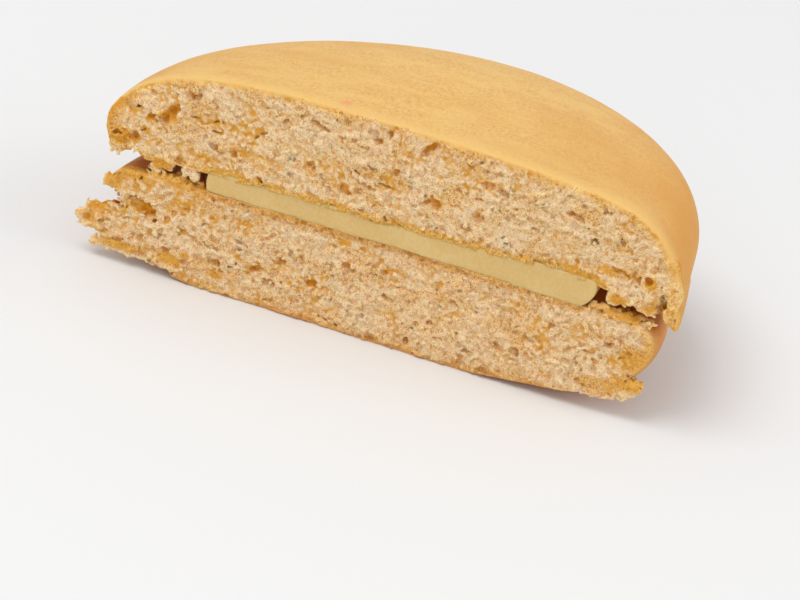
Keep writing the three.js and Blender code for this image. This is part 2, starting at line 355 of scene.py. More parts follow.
def upper_body(x, y, z):
    d = UPPER
    py = y - CUT_Y
    x = x - RIM_TUCK["depth"] * smooth(RIM_TUCK["start"], -39.0, x) * bell(py, RIM_TUCK["reach"])
    dents = sum(n["depth"] * bell(x - n["x"], n["reach"]) * bell(py - n["back"], n["reach"]) for n in DENTS)
    z = z + dents * smooth(d["dome_z"], d["dome_z"] + 4, z)
    angle = np.arctan2(np.abs(py), x)
    waves = sum(OUTLINE[f"cos{n}"] * np.cos(n * angle) for n in (1, 2, 3))
    pinch = PINCH["depth"] * bell(np.degrees(angle) - PINCH["angle"], PINCH["width"])
    k = 1 + waves + OUTLINE["sin1"] * np.sin(angle) - pinch
    low = 1 - smooth(d["dome_z"] - 2, d["dome_z"] + 5, z)
    flare = RIM_FLARE["out"] * smooth(RIM_FLARE["start"], d["rim_radius"], x) * bell(py, RIM_FLARE["reach"])
    radius = np.hypot(x - flare * low, py) / k
    u, v = x / d["radius"], np.abs(py) / d["radius"]
    lean = 1 + LEAN["right"] * u + LEAN["back"] * v + LEAN["corner"] * u * v
    seat = rise(x) * (1 - smooth(d["seat_radius"], d["rim_radius"], np.hypot(x, py) / k))
    at_end = smooth(RIM_HANG["start"], d["rim_radius"], x) * bell(py, RIM_HANG["reach"])
    under = (seat - RIM_HANG["drop"] * at_end) * (1 - smooth(d["seat_z"], d["dome_z"], z))
    height = np.where(z > d["dome_z"], d["dome_z"] + (z - d["dome_z"]) / lean, z - under)
    return upper_turned(radius, height)


print("at the crown:", upper_body(np.array(0.0), np.array(CUT_Y), np.array(30.0)))

# %% [markdown]
# ## Air pockets
# Gas makes pockets that range from pinholes to a few millimetres. Most are small and flattened. The
# large ones that catch the eye are listed one by one where the cut shows them, each as a little chain of
# flattened balls, so that none looks like a perfect bubble.

# %% Pockets listed one by one
# x, height above the floor, half width, half height, tilt in degrees
UPPER_POCKETS = [
    (-27.8, 26.0, 0.75, 0.6, 20), (-31.0, 22.6, 1.6, 0.9, 50), (-33.2, 21.6, 0.7, 0.5, 0),
    (-35.6, 18.3, 0.9, 0.7, 20), (-37.8, 18.2, 0.7, 0.4, 0), (-18.6, 23.3, 1.1, 0.22, 40),
    (-21.5, 19.5, 0.9, 0.4, -40), (-24.5, 19.9, 1.1, 0.45, 0), (-11.5, 21.3, 0.75, 0.45, -20),
    (-9.8, 19.6, 0.8, 0.3, -60), (-11.0, 26.9, 1.6, 0.35, -8), (-6.8, 19.2, 1.0, 0.55, -30),
    (-6.4, 21.9, 0.55, 0.2, -35), (-5.2, 19.7, 0.6, 0.5, 0), (-4.4, 21.0, 1.4, 0.25, -12),
    (-3.6, 27.1, 1.2, 0.42, -30), (-3.7, 23.4, 0.8, 0.22, -30), (-2.4, 28.4, 0.45, 0.5, 0),
    (-0.6, 23.8, 0.65, 0.55, 20), (-0.3, 22.8, 0.4, 0.3, 0), (0.9, 23.3, 0.5, 0.25, -30),
    (1.5, 22.2, 0.4, 0.2, -40), (3.1, 28.0, 1.5, 0.7, 45), (4.4, 21.1, 1.1, 0.6, 5),
    (3.6, 21.7, 0.5, 0.2, -50), (5.2, 18.0, 0.6, 0.35, 10), (10.4, 21.1, 0.95, 0.55, -10),
    (9.4, 19.2, 0.7, 0.3, 0), (13.5, 25.3, 0.9, 0.35, -10), (14.4, 19.0, 0.8, 0.35, 0),
    (22.5, 25.1, 1.4, 0.45, -15), (24.0, 28.2, 0.7, 0.4, -20), (26.4, 26.7, 0.6, 0.5, 0),
    (25.4, 22.7, 0.5, 0.55, 20), (29.0, 23.4, 0.55, 0.3, -40), (29.3, 19.5, 1.7, 0.45, -12),
    (31.4, 19.0, 0.6, 0.9, -20), (33.5, 19.4, 0.8, 0.65, 0), (35.6, 22.9, 0.7, 0.5, -30),
    (18.0, 21.8, 0.7, 0.25, -15), (7.6, 24.0, 0.5, 0.3, 0), (-15.6, 26.2, 0.5, 0.35, 0),
]
LOWER_POCKETS = [
    (-13.8, 7.0, 0.65, 0.55, 0), (-19.5, 8.2, 1.1, 0.35, -15), (-17.2, 5.1, 0.9, 0.5, 30),
    (-15.0, 3.6, 1.0, 0.6, 0), (-5.0, 9.1, 1.2, 0.5, -20), (4.0, 1.9, 0.55, 0.8, 0),
    (15.7, 4.9, 0.9, 0.35, -10), (22.2, 10.0, 0.6, 0.4, 0), (25.8, 5.8, 0.35, 0.55, -20),
    (29.8, 9.5, 1.0, 0.35, -15), (32.4, 9.2, 0.6, 0.4, 0), (27.0, 13.6, 0.75, 0.55, -10),
    (-26.5, 6.9, 1.6, 0.3, -20), (-9.5, 5.6, 0.9, 0.35, 10), (0.5, 6.6, 0.8, 0.3, -15),
    (9.2, 8.8, 0.9, 0.3, -10), (-22.8, 4.4, 0.7, 0.5, 0), (12.0, 3.0, 0.8, 0.35, 0),
    (19.5, 7.2, 0.7, 0.4, -20), (-29.5, 3.9, 0.7, 0.45, 0), (6.5, 5.2, 0.6, 0.4, 30),
    (-2.2, 3.2, 0.7, 0.4, -20), (-33.6, 4.6, 0.8, 0.45, 10), (33.0, 6.4, 0.7, 0.5, 0),
]
print(len(UPPER_POCKETS) + len(LOWER_POCKETS), "pockets placed by hand")

# %% [markdown]
# Thousands of small pockets can't be placed by hand, so they are drawn from three kinds with a fixed
# seed: pits, rounder holes and very flat crevices. All of them open on the knife's face. Each is a
# stretched ball, written into the grid only where it can reach, which keeps the carving fast.

# %% Pockets drawn at random
# least and most half height, how flat, how deep for the height, how far the slant strays in degrees
POCKET_KINDS = [
    dict(name="pits", count=2600, least=0.14, most=0.40, flat=1.35, deep=0.9, lean=35),
    dict(name="holes", count=170, least=0.32, most=0.60, flat=1.4, deep=0.9, lean=30),
    dict(name="crevices", count=110, least=0.06, most=0.10, flat=7.0, deep=6.0, lean=28),
]


def random_pockets(low, high, face):
    """Rows of x, y, z, half width, half depth, half height and slant. They open on the cut."""
    rows = []
    for kind in POCKET_KINDS:
        n = kind["count"]
        tall = kind["least"] + (kind["most"] - kind["least"]) * rng.random(n) ** 2
        x, z = rng.uniform(-43, 39, n), rng.uniform(low, high, n)
        wide = tall * kind["flat"] * rng.uniform(0.7, 1.3, n)
        deep = tall * kind["deep"] * rng.uniform(0.6, 1.2, n)
        slant = np.radians(rng.normal(-6, kind["lean"], n))
        y = CUT_Y + face(x, z) + rng.uniform(-0.3, 0.3, n) * deep
        rows.append(np.stack([x, y, z, wide, deep, tall, slant], 1))
    return np.concatenate(rows)


def chained_pockets(placed, face):
    """Each listed pocket as a chain of balls along its own slant."""
    rows = []
    for x, z, wide, high, tilt in placed:
        slant = np.radians(tilt)
        for t in rng.uniform(-0.75, 0.75, 5):
            grow = rng.uniform(0.65, 1.0)
            dx = t * wide * np.cos(slant)
            dz = t * wide * np.sin(slant) + rng.normal(0, 0.22) * high
            deep = rng.uniform(0.8, 1.2) * (0.3 + 0.5 * high + 0.12 * wide)
            y = CUT_Y + face(np.array([x]), np.array([z]))[0] + 0.1
            rows.append([x + dx, y, z + dz, wide * 0.62 * grow, deep, high * grow, slant])
    return np.array(rows)


def carve(axes, balls, beyond):
    """The distance to the nearest of many balls on a grid: below zero inside one."""
    field = np.full([len(a) for a in axes], beyond, np.float32)
    reach = balls[:, 3:6].max(1) * (1 + beyond)
    low = [np.searchsorted(a, balls[:, n] - reach) for n, a in enumerate(axes)]
    high = [np.searchsorted(a, balls[:, n] + reach) for n, a in enumerate(axes)]
    for n, (x, y, z, wide, deep, tall, slant) in enumerate(balls):
        cut = tuple(slice(lo[n], hi[n]) for lo, hi in zip(low, high))
        dx = (axes[0][cut[0]] - x)[:, None, None]
        dy = (axes[1][cut[1]] - y)[None, :, None]
        dz = (axes[2][cut[2]] - z)[None, None, :]
        along = (dx * np.cos(slant) + dz * np.sin(slant)) / wide
        over = (dz * np.cos(slant) - dx * np.sin(slant)) / tall
        ball = (np.sqrt(along**2 + over**2 + (dy / deep) ** 2) - 1) * min(tall, wide)
        field[cut] = np.minimum(field[cut], ball)
    return field


print("pockets per cake:", sum(kind["count"] for kind in POCKET_KINDS))

# %% [markdown]
# ## Tears and hanging crumb
# The knife squeezed the soft cakes: the left end of the lower one split into a lip and a flap, crumb
# hangs into the gap on both sides of the cream, and a strip of crust dangles at the right end. Bites
# take crumb away and lumps add it. A row is x, depth behind the cut, height and three half-axes.

# %% Bites and lumps
LOWER_BITES = [
    (-40.0, 0.0, 9.3, 3.5, 4.0, 1.2), (-34.1, 0.0, 9.4, 1.5, 1.2, 0.75), (-33.0, 0.0, 8.9, 1.3, 1.3, 0.95),
    (-32.3, 0.0, 8.2, 1.05, 1.2, 1.0), (-31.8, 0.0, 7.6, 0.7, 1.1, 0.65), (-40.6, 0.0, 3.35, 1.7, 2.6, 0.25),
    (-32.4, 0.0, 1.1, 0.7, 1.5, 0.5), (-29.6, 0.0, 0.9, 1.4, 1.5, 0.5), (27.2, 0.0, 13.7, 0.75, 1.6, 0.65),
    (-39.2, 2.5, 8.3, 3.2, 2.2, 1.1), (-40.2, 5.2, 7.2, 3.3, 2.6, 1.7),
]
LOWER_LUMPS = [
    (-38.5, 1.1, 10.8, 1.0, 1.2, 1.1), (-41.2, 1.0, 5.0, 1.2, 1.0, 0.8), (-40.0, 1.0, 6.8, 1.1, 1.0, 0.8),
    (-40.7, 1.0, 3.9, 1.0, 1.0, 0.6), (-39.2, 1.0, 1.95, 1.0, 1.0, 0.45), (-37.2, 1.1, 2.3, 2.2, 1.3, 0.9),
    (-34.8, 1.1, 2.0, 2.2, 1.3, 0.85), (33.8, 0.7, 13.8, 0.5, 0.5, 0.45), (33.4, 1.0, 4.9, 1.3, 1.2, 0.8),
    (31.3, 1.0, 4.2, 2.2, 1.3, 1.1), (28.4, 1.0, 3.1, 2.5, 1.3, 0.95), (-29.5, 1.3, 13.7, 3.2, 1.2, 0.6),
    (28.0, 1.2, 13.8, 1.9, 1.1, 0.8), (31.0, 1.4, 13.6, 2.3, 1.2, 0.7),
]
UPPER_BITES = [
    (35.1, 0.0, 16.0, 0.4, 3.0, 1.6), (34.8, 0.0, 13.2, 2.2, 5.0, 1.8), (36.4, 0.0, 12.0, 3.2, 8.0, 2.0),
    (30.2, 0.0, 19.6, 1.8, 1.0, 0.5), (-35.5, 0.0, 15.5, 1.3, 3.5, 0.75),
]
UPPER_LUMPS = [
    (-38.0, 1.4, 16.2, 0.9, 1.6, 1.0), (-32.0, 1.1, 15.1, 0.8, 1.1, 1.0), (-30.9, 1.1, 15.5, 1.1, 1.1, 0.8),
    (-28.1, 1.1, 15.4, 0.9, 1.0, 1.0), (-27.0, 1.1, 15.1, 0.9, 1.0, 1.0), (29.3, 1.1, 15.9, 1.1, 1.2, 1.1),
    (30.8, 1.1, 16.1, 1.0, 1.2, 1.0), (32.6, 1.1, 15.9, 1.0, 1.3, 1.3), (33.6, 1.1, 15.8, 0.9, 1.3, 1.2),
    (34.1, 1.2, 17.2, 0.7, 1.2, 1.0),
]

# Patches of toasted crumb on the cut: x, height and two half-axes
UPPER_TOAST = [
    (-37.4, 18.0, 2.0, 1.6), (-35.3, 18.2, 1.0, 0.9), (-25.6, 18.1, 1.7, 0.8), (-31.2, 22.2, 1.8, 1.0),
    (35.4, 23.0, 1.4, 0.9), (33.4, 19.2, 1.1, 1.1), (29.3, 19.3, 2.6, 0.8), (36.9, 17.5, 2.2, 5.0),
    (-31.4, 15.6, 1.8, 1.2), (29.6, 15.9, 1.7, 0.8),
]
LOWER_TOAST = [
    (-22.3, 2.8, 1.3, 0.9), (-29.0, 2.8, 2.3, 1.0), (-26.7, 4.0, 0.9, 0.5), (29.2, 3.8, 3.3, 1.3),
    (32.8, 5.1, 2.6, 1.3), (32.7, 8.0, 2.2, 2.4), (-40.8, 5.4, 0.9, 1.1), (-37.6, 11.6, 1.6, 2.0),
    (-34.0, 9.0, 2.6, 0.9), (-36.0, 2.6, 4.0, 0.8), (-29.0, 13.9, 5.5, 0.8), (-34.6, 13.2, 2.2, 0.9),
    (28.2, 13.9, 2.4, 1.1), (31.4, 13.9, 2.6, 0.9),
]


def balls_of(rows):
    """Bites and lumps in the form that carve takes: they don't slant."""
    return np.array([(x, CUT_Y + deep, z, rx, ry, rz, 0.0) for x, deep, z, rx, ry, rz in rows])


def patches(rows, x, z):
    """How toasted the crumb is at a place of the cut, 0 to 1, from listed patches."""
    away = [np.hypot((x - px) / rx, (z - pz) / rz) for px, pz, rx, rz in rows]
    return smooth(1.2, 0.5, np.minimum.reduce(away))


print(len(UPPER_BITES) + len(LOWER_BITES), "bites,", len(UPPER_LUMPS) + len(LOWER_LUMPS), "lumps")

# %% [markdown]
# ## From distances to a mesh
# A surface net puts one vertex in each grid cell that the zero level crosses, at the mean of the
# crossings on the cell's edges, and joins the four cells round each crossed edge by a quad. It is
# simpler than marching cubes and gives rounder, more even faces.


# %% Surface net
def surface_net(field, axes):
    """Vertices and quads of the zero level of a field on a grid."""
    inside = field < 0
    nx, ny, nz = field.shape
    cells = np.zeros((nx - 1, ny - 1, nz - 1), np.uint8)
    corners = [(i, j, k) for i in (0, 1) for j in (0, 1) for k in (0, 1)]
    for i, j, k in corners:
        cells += inside[i : nx - 1 + i, j : ny - 1 + j, k : nz - 1 + k]
    base = np.argwhere((cells > 0) & (cells < 8))
    number = np.full(cells.shape, -1, np.int32)
    number[tuple(base.T)] = np.arange(len(base))
    flat, jump = field.ravel(), np.array([ny * nz, nz, 1])
    start = base @ jump
    total, count = np.zeros((len(base), 3)), np.zeros(len(base))
    for axis in range(3):
        for corner in corners:
            if corner[axis]:
                continue
            a = flat[start + np.array(corner) @ jump]
            b = flat[start + np.array(corner) @ jump + jump[axis]]
            crossed = (a < 0) != (b < 0)
            point = np.tile(np.array(corner, float), (len(base), 1))
            point[:, axis] = np.where(crossed, a / np.where(crossed, a - b, 1), 0)
            total += point * crossed[:, None]
            count += crossed
    place = base + total / count[:, None]
    vertices = np.stack([np.interp(place[:, n], np.arange(len(a)), a) for n, a in enumerate(axes)], 1)
    quads = []
    for axis in range(3):
        here = [slice(1, -1)] * 3
        here[axis] = slice(0, -1)
        there = list(here)
        there[axis] = slice(1, None)
        crossed = inside[tuple(here)] != inside[tuple(there)]
        at = np.argwhere(crossed) + [0 if n == axis else 1 for n in range(3)]
        one, two = [(1, 2), (2, 0), (0, 1)][axis]
        ring = []
        for di, dj in ((0, 0), (1, 0), (1, 1), (0, 1)):
            cell = at.copy()
            cell[:, one] -= di
            cell[:, two] -= dj
            ring.append(number[tuple(cell.T)])
        ring = np.stack(ring, 1)
        outward = inside[tuple(here)][crossed]
        quads.append(np.where(outward[:, None], ring, ring[:, ::-1]))
    return vertices, np.concatenate(quads)


def largest_body(vertices, quads):
    """Drops loose scraps and sealed bubbles: keeps the one connected body with most vertices."""
    ends = np.concatenate([quads[:, [0, 1]], quads[:, [1, 2]], quads[:, [2, 3]]])
    label = np.arange(len(vertices))
    while True:
        least = np.minimum(label[ends[:, 0]], label[ends[:, 1]])
        fresh = label.copy()
        np.minimum.at(fresh, ends[:, 0], least)
        np.minimum.at(fresh, ends[:, 1], least)
        fresh = fresh[fresh]
        if np.array_equal(fresh, label):
            break
        label = fresh
    kept = label == np.bincount(label).argmax()
    renumber = np.cumsum(kept) - 1
    return vertices[kept], renumber[quads[kept[quads[:, 0]]]]


print("surface net ready")

# %% [markdown]
# ## Carving a cake
# The grid is fine at the cut, where the crumb shows, and grows coarser towards the back. The knife's
# plane wanders a little, pockets shrink under the crust so that it stays whole, and a last fine noise
# turns smooth walls into grains.

# %% The grid and the knife
FINE = 0.15
COARSE = 0.8
KNIFE_DEPTH = 0.5


def grid(x, z, back):
    """Axes that are fine across the cut and in its first millimetres, then grow."""
    ys = [CUT_Y - 0.5]
    while ys[-1] < back:
        depth = ys[-1] - CUT_Y
        ys.append(ys[-1] + min(max(FINE, FINE + 0.12 * (depth - 3.0)), COARSE))
    return np.arange(*x, FINE), np.array(ys), np.arange(*z, FINE)


def sampled(field, axes, *where):
    """A field's values between its grid points."""
    cells, shares = [], []
    for axis, v in zip(axes, where):
        t = np.clip(np.interp(v, axis, np.arange(len(axis))), 0, len(axis) - 1.001)
        cells.append(t.astype(int))
        shares.append(t - cells[-1])
    total = 0
    for corner in np.ndindex(*(2,) * len(axes)):
        weight = np.prod([s if c else 1 - s for c, s in zip(corner, shares)], axis=0)
        total = total + weight * field[tuple(c + i for c, i in zip(cells, corner))]
    return total


def knife_face(axes):
    """How far behind the cut plane the crumb begins, over the whole cut."""
    flat = (axes[0], np.zeros(1), axes[2])
    waves = 0.22 * noise(flat, 7.0) + 0.16 * noise(flat, 2.6, 1.6)
    return (KNIFE_DEPTH + waves)[:, 0, :]


print("voxels of", FINE, "mm at the cut and", COARSE, "mm at the back")

# %% [markdown]
# Grains come from folded noise: the absolute value of noise has sharp valleys, and they look like the
# clefts between crumbs. Several sizes are added up, and grains of 0.4 mm count most.


# %% Crumb
def grains(axes):
    """Rounded grains of dough with narrow clefts between them. They stand out where it is high."""
    clumps = noise(axes, 1.6, 1.3)
    coarse = np.abs(noise(axes, 0.8, 1.25)) - 0.3
    fine = np.abs(noise(axes, 0.40, 1.15)) - 0.3
    return 0.15 * clumps + 0.15 * coarse + 0.42 * fine + 0.13 * noise(axes, 0.25)


def both(a, b, edge):
    """The part that two fields share, with a rounded edge where they meet."""
    corner = np.hypot(np.maximum(a + edge, 0), np.maximum(b + edge, 0))
    return corner + np.minimum(np.maximum(a, b) + edge, 0) - edge


print("grains ready")

# %% [markdown]
# Each cake is carved in the same order: bend the turned shape, tear the sides, bite and add lumps, cut
# with the wavy knife, roughen the cut into grains, and open the pockets. The fields used on the way
# also say how baked, toasted or deep each place is, and later steps read that.

# %% Carve one cake
SKIN_WHOLE = 0.2
CALM_Z = 20.0
CAKE_EDGE = 0.22


def carved(body, axes, bites, lumps, placed, toasted, rough_side):
    """The field of one cake, and the fields that its vertices will read their facts from."""
    xs, ys, zs = axes
    x, y, z = xs[:, None, None], ys[None, :, None], zs[None, None, :]
    depth = y - CUT_Y

    # The bent shape, uneven at several scales and rougher where it is torn
    torn_side = rough_side(x, y, z)
    shape = body(x, y, z).astype(np.float32)
    shape += 0.10 * noise(axes, 9.0) + 0.03 * noise(axes, 2.5)
    rough = noise(axes, 1.3, 1.4)
    shape -= torn_side * (0.22 * rough + 0.12 * noise(axes, 0.6))
    crumbly = grains(axes)

    # Bites and lumps, with a crumbly outline
    torn = carve(axes, balls_of(bites), 1.2)
    torn += smooth(1.2, 0.9, torn) * (0.12 * rough + 0.35 * crumbly)
    added = carve(axes, balls_of(lumps), 1.2)
    added += smooth(1.2, 0.9, added) * (0.3 * rough - 1.1 * crumbly)
    field = np.maximum(np.minimum(shape, added), -torn)

    # The knife's face, and grains on it that fade towards the skin, most of all under the dome
    plane = knife_face(axes)
    front = CUT_Y + plane[:, None, :] - y
    calm = 0.35 + 0.6 * smooth(CALM_Z, CALM_Z + 4, z)
    inner = smooth(-0.1, 1, -np.minimum(shape, added) / calm)
    cut = both(field, front, CAKE_EDGE)
    cut -= inner * smooth(4.0, 2.0, depth) * crumbly

    # Pockets, which leave the skin whole
    def face(a, b):
        return sampled(plane, (xs, zs), a, b)

    pockets = np.concatenate([random_pockets(zs[0], zs[-1], face), chained_pockets(placed, face)])
    holes = carve(axes, pockets, 0.8) + 0.5 * crumbly
    holes += 3 * np.clip(SKIN_WHOLE + shape, 0, 1) + 0.3 * smooth(-1.6, -0.5, shape) * (calm > 0.5)

    # What the vertices will know. Noise makes the border between crust and crumb wander.
    lump = smooth(0.4, 0.0, added) * smooth(-0.3, 0.1, shape)
    wander = 0.12 + 0.4 * bell(depth, 1.2)
    skin = wander * noise(axes, 1.2) + 0.2 * crumbly * inner - shape
    skin += 4 * np.maximum(lump, torn_side)
    ends = smooth(31, 38, np.abs(x))
    toast = 0.6 * smooth(-1.6, -0.3, shape) + 0.4 * ends * smooth(-3.2, -0.6, shape)
    toast = toast * (1 - smooth(0.4, 0.0, added))
    toast = np.maximum(toast, patches(toasted, x, z)) * (0.85 + 0.5 * rough)
    frayed = np.maximum(np.clip(5 * torn_side, 0, 1), smooth(2, 4, depth))
    frayed = smooth(33, 35, np.abs(x)) * frayed
    # pit and cleft drive the crumb's painted shade in pockets and clefts; pit is lessened on lumps and
    # frayed ends.
    pit = -front * (1 - np.maximum(0.6 * lump, 0.75 * frayed))
    return np.maximum(cut, -holes), dict(skin=skin, pit=pit, cleft=-crumbly, toast=toast)


def upper_rough(x, y, z):
    """Where the upper cake is torn: its underside behind the cut, and both ends of the cut."""
    below = smooth(18.6, 17.4, z) * smooth(36.5, 35.0, x) * smooth(-39.0, -37.0, x) * bell(y - CUT_Y, 6)
    ends = np.maximum(smooth(34.3, 35.8, x), smooth(-35.5, -37.2, x)) * smooth(23.5, 21.5, z)
    return np.maximum(below, ends * bell(y - CUT_Y, 1.5))


def lower_rough(x, y, z):
    """Where the lower cake's skin is torn: along its cut."""
    return bell(y - CUT_Y, 1.4) * (0.25 + 0.75 * smooth(-26.0, -33.0, x)) * smooth(1.0, 3.0, z)


upper_axes = grid((-41.4, 39.8), (12.4, 31.0), CUT_Y + 41.6)
lower_axes = grid((-43.6, 36.4), (-0.5, 14.8), CUT_Y + 39.0)
print("grid points:", [int(np.prod([len(a) for a in axes])) for axes in (upper_axes, lower_axes)])

# %% [markdown]
# Now both cakes are carved. This is the slow step: millions of grid points, with simple sums at each.
# The lower cake is cut flat at z = 0, where it rests.

# %% Carve both cakes
upper_field, upper_facts = carved(
    upper_body, upper_axes, UPPER_BITES, UPPER_LUMPS, UPPER_POCKETS, UPPER_TOAST, upper_rough
)
lower_field, lower_facts = carved(
    lower_body, lower_axes, LOWER_BITES, LOWER_LUMPS, LOWER_POCKETS, LOWER_TOAST, lower_rough
)
lower_field = np.maximum(lower_field, -lower_axes[2][None, None, :].astype(np.float32))
print("carved")

# %% [markdown]
# ## Cream
# The cream is dense and smooth. Its cut face is wiped flat by the knife, and only its upper edge
# wavers where it was pressed into the crumb.


# %% Cream field
CREAM_EDGE = 0.15


def cream_field(axes):
    xs, ys, zs = axes
    shape = cream_body(xs[:, None, None], ys[None, :, None], zs[None, None, :]).astype(np.float32)
    shape += 0.16 * noise(axes, 4.5) + 0.10 * noise(axes, 1.3)
    face = CREAM["face_y"] + 0.06 * noise((xs, np.zeros(1), zs), 3.0) - ys[None, :, None]
    return both(shape, face, CREAM_EDGE)


cream_axes = grid((-26.4, 28.0), (13.0, 18.6), CUT_Y + 28.6)
print("cream grid", [len(a) for a in cream_axes])

# %% [markdown]
# ## Meshes and what each vertex knows
# The nets are thinned to a fair number of faces. Then every vertex of a cake learns five things from
# the fields: how deep below the baked skin it lies, how deep behind the knife's face, whether it is in
# a cleft between grains, how toasted it is, and how close to the cream. The materials turn these into
# colour, so the colour always fits the shape. Depth behind the knife and the clefts become painted warm
# shade, and closeness to the cream also lays painted warm shade on the lower cake's skin.

# %% Meshes
MOST_FACES = 190000


def thinned(name, vertices, quads):
    """A mesh object of a net, with at most MOST_FACES triangles."""
    near = 2 * (vertices[quads[:, 0], 1] < CUT_Y + 3).sum()
    print(name, "net of", 2 * len(quads), "triangles,", near, "of them near the cut")
    mesh = bpy.data.meshes.new(name)
    mesh.from_pydata((vertices * MM).tolist(), [], quads.tolist())
    thing = new_object(name, mesh)
    if 2 * len(quads) > MOST_FACES:
        fewer = thing.modifiers.new("fewer faces", "DECIMATE")
        fewer.ratio = MOST_FACES / (2 * len(quads))
        solved = thing.evaluated_get(bpy.context.evaluated_depsgraph_get())
        thing.data = bpy.data.meshes.new_from_object(solved)
        thing.modifiers.clear()
        bpy.data.meshes.remove(mesh)
        thing.data.name = name
    thing.data.shade_smooth()
    return thing


def places(mesh):
    """Vertex positions in millimetres, as three arrays."""
    values = np.empty(3 * len(mesh.vertices))
    mesh.vertices.foreach_get("co", values)
    return (values.reshape(-1, 3) / MM).T


def learn(mesh, **facts):
    for name, values in facts.items():
        mesh.attributes.new(name, "FLOAT", "POINT").data.foreach_set("value", values.astype(np.float32))


def cake(name, field, axes, facts):
    thing = thinned(name, *largest_body(*surface_net(field, axes)))
    x, y, z = places(thing.data)
    known_facts = {fact: sampled(values, axes, x, y, z) for fact, values in facts.items()}
    # Closeness to the cream: it wets the crumb, and lays painted warm shade on the lower cake's skin.
    damp = 1.1 * known_facts["cleft"] - cream_body(x, np.maximum(y, CUT_Y + 2), z)
    learn(thing.data, damp=damp, **known_facts)
    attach(thing, "root")
    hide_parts(name.replace("baked_", ""))
    print(name, len(thing.data.polygons), "faces")
    return thing


upper = cake("baked_upper_cake", upper_field, upper_axes, upper_facts)
lower = cake("baked_lower_cake", lower_field, lower_axes, lower_facts)

filling = thinned("banana_cream", *largest_body(*surface_net(cream_field(cream_axes), cream_axes)))
x, y, z = places(filling.data)
learn(filling.data, rim=-cream_body(x, y, z))
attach(filling, "root")
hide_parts("cream_filling")
print("banana_cream", len(filling.data.polygons), "faces")

# %% [markdown]
# ## Shared shader groups
# Crumb, crust and cream share a few effects, so each is a node group: a grain of tiny pale and dark
# flecks with a height for bump, dots for the painted shade of pin holes, and a slow mottling of one
# colour by another. A change in a group shows everywhere it is used.


# %% Node helpers
def node(nodes, kind, **inputs):
    made = nodes.new("ShaderNode" + kind)
    for name, value in inputs.items():
        made.inputs[name.replace("_", " ")].default_value = value
    return made


def srgb(r, g, b):
    """A colour as the picture shows it, 0 to 255, turned to linear light."""
    c = np.array([r, g, b]) / 255
    return (*np.where(c < 0.04045, c / 12.92, ((c + 0.055) / 1.055) ** 2.4), 1.0)


def group(name, inputs, outputs):
    """An empty node group with named sockets: (name, kind, default) in, (name, kind) out."""
    tree = bpy.data.node_groups.new(name, "ShaderNodeTree")
    for title, kind, value in inputs:
        socket = tree.interface.new_socket(title, in_out="INPUT", socket_type="NodeSocket" + kind)
        socket.default_value = value
    for title, kind in outputs:
        tree.interface.new_socket(title, in_out="OUTPUT", socket_type="NodeSocket" + kind)
    return tree, tree.nodes.new("NodeGroupInput"), tree.nodes.new("NodeGroupOutput")


def mixed(tree, a, b, factor):
    """A colour mix. a, b and factor are sockets or values."""
    mix = tree.nodes.new("ShaderNodeMix")
    mix.data_type = "RGBA"
    for socket, value in ((mix.inputs[0], factor), (mix.inputs[6], a), (mix.inputs[7], b)):
        if isinstance(value, bpy.types.NodeSocket):
            tree.links.new(value, socket)
        else:
            socket.default_value = value
    return mix.outputs[2]


def ranged(tree, value, low, high, to_low=0.0, to_high=1.0):
    """A value mapped smoothly from one range to another."""
    fit = tree.nodes.new("ShaderNodeMapRange")
    fit.interpolation_type = "SMOOTHSTEP"
    for n, v in enumerate((low, high, to_low, to_high), 1):
        fit.inputs[n].default_value = v
    tree.links.new(value, fit.inputs[0])
    return fit.outputs[0]


print("node helpers ready")

# %% [markdown]
# The grain splits one fine noise in two: its peaks mix in the pale colour, its valleys the dark one.

# %% Grain group
grain, enter, leave = group(
    "Dough Grain",
    [("Colour", "Color", (0.8, 0.7, 0.5, 1)), ("Pale", "Color", (0.9, 0.85, 0.7, 1)),
     ("Dark", "Color", (0.6, 0.4, 0.2, 1)), ("Size", "Float", 2500.0), ("Strength", "Float", 0.5)],
    [("Colour", "Color"), ("Height", "Float")],
)
where = grain.nodes.new("ShaderNodeTexCoord")
fine = node(grain.nodes, "TexNoise", Detail=3.0, Roughness=0.6)
grain.links.new(where.outputs["Object"], fine.inputs["Vector"])
grain.links.new(enter.outputs["Size"], fine.inputs["Scale"])
pale = grain.nodes.new("ShaderNodeMath")
pale.operation = "MULTIPLY"
grain.links.new(ranged(grain, fine.outputs["Fac"], 0.5, 0.63), pale.inputs[0])
grain.links.new(enter.outputs["Strength"], pale.inputs[1])
dark = grain.nodes.new("ShaderNodeMath")
dark.operation = "MULTIPLY"
grain.links.new(ranged(grain, fine.outputs["Fac"], 0.47, 0.35), dark.inputs[0])
grain.links.new(enter.outputs["Strength"], dark.inputs[1])
lighter = mixed(grain, enter.outputs["Colour"], enter.outputs["Pale"], pale.outputs[0])
darker = mixed(grain, lighter, enter.outputs["Dark"], dark.outputs[0])
grain.links.new(darker, leave.inputs["Colour"])
grain.links.new(fine.outputs["Fac"], leave.inputs["Height"])
print("group", grain.name)
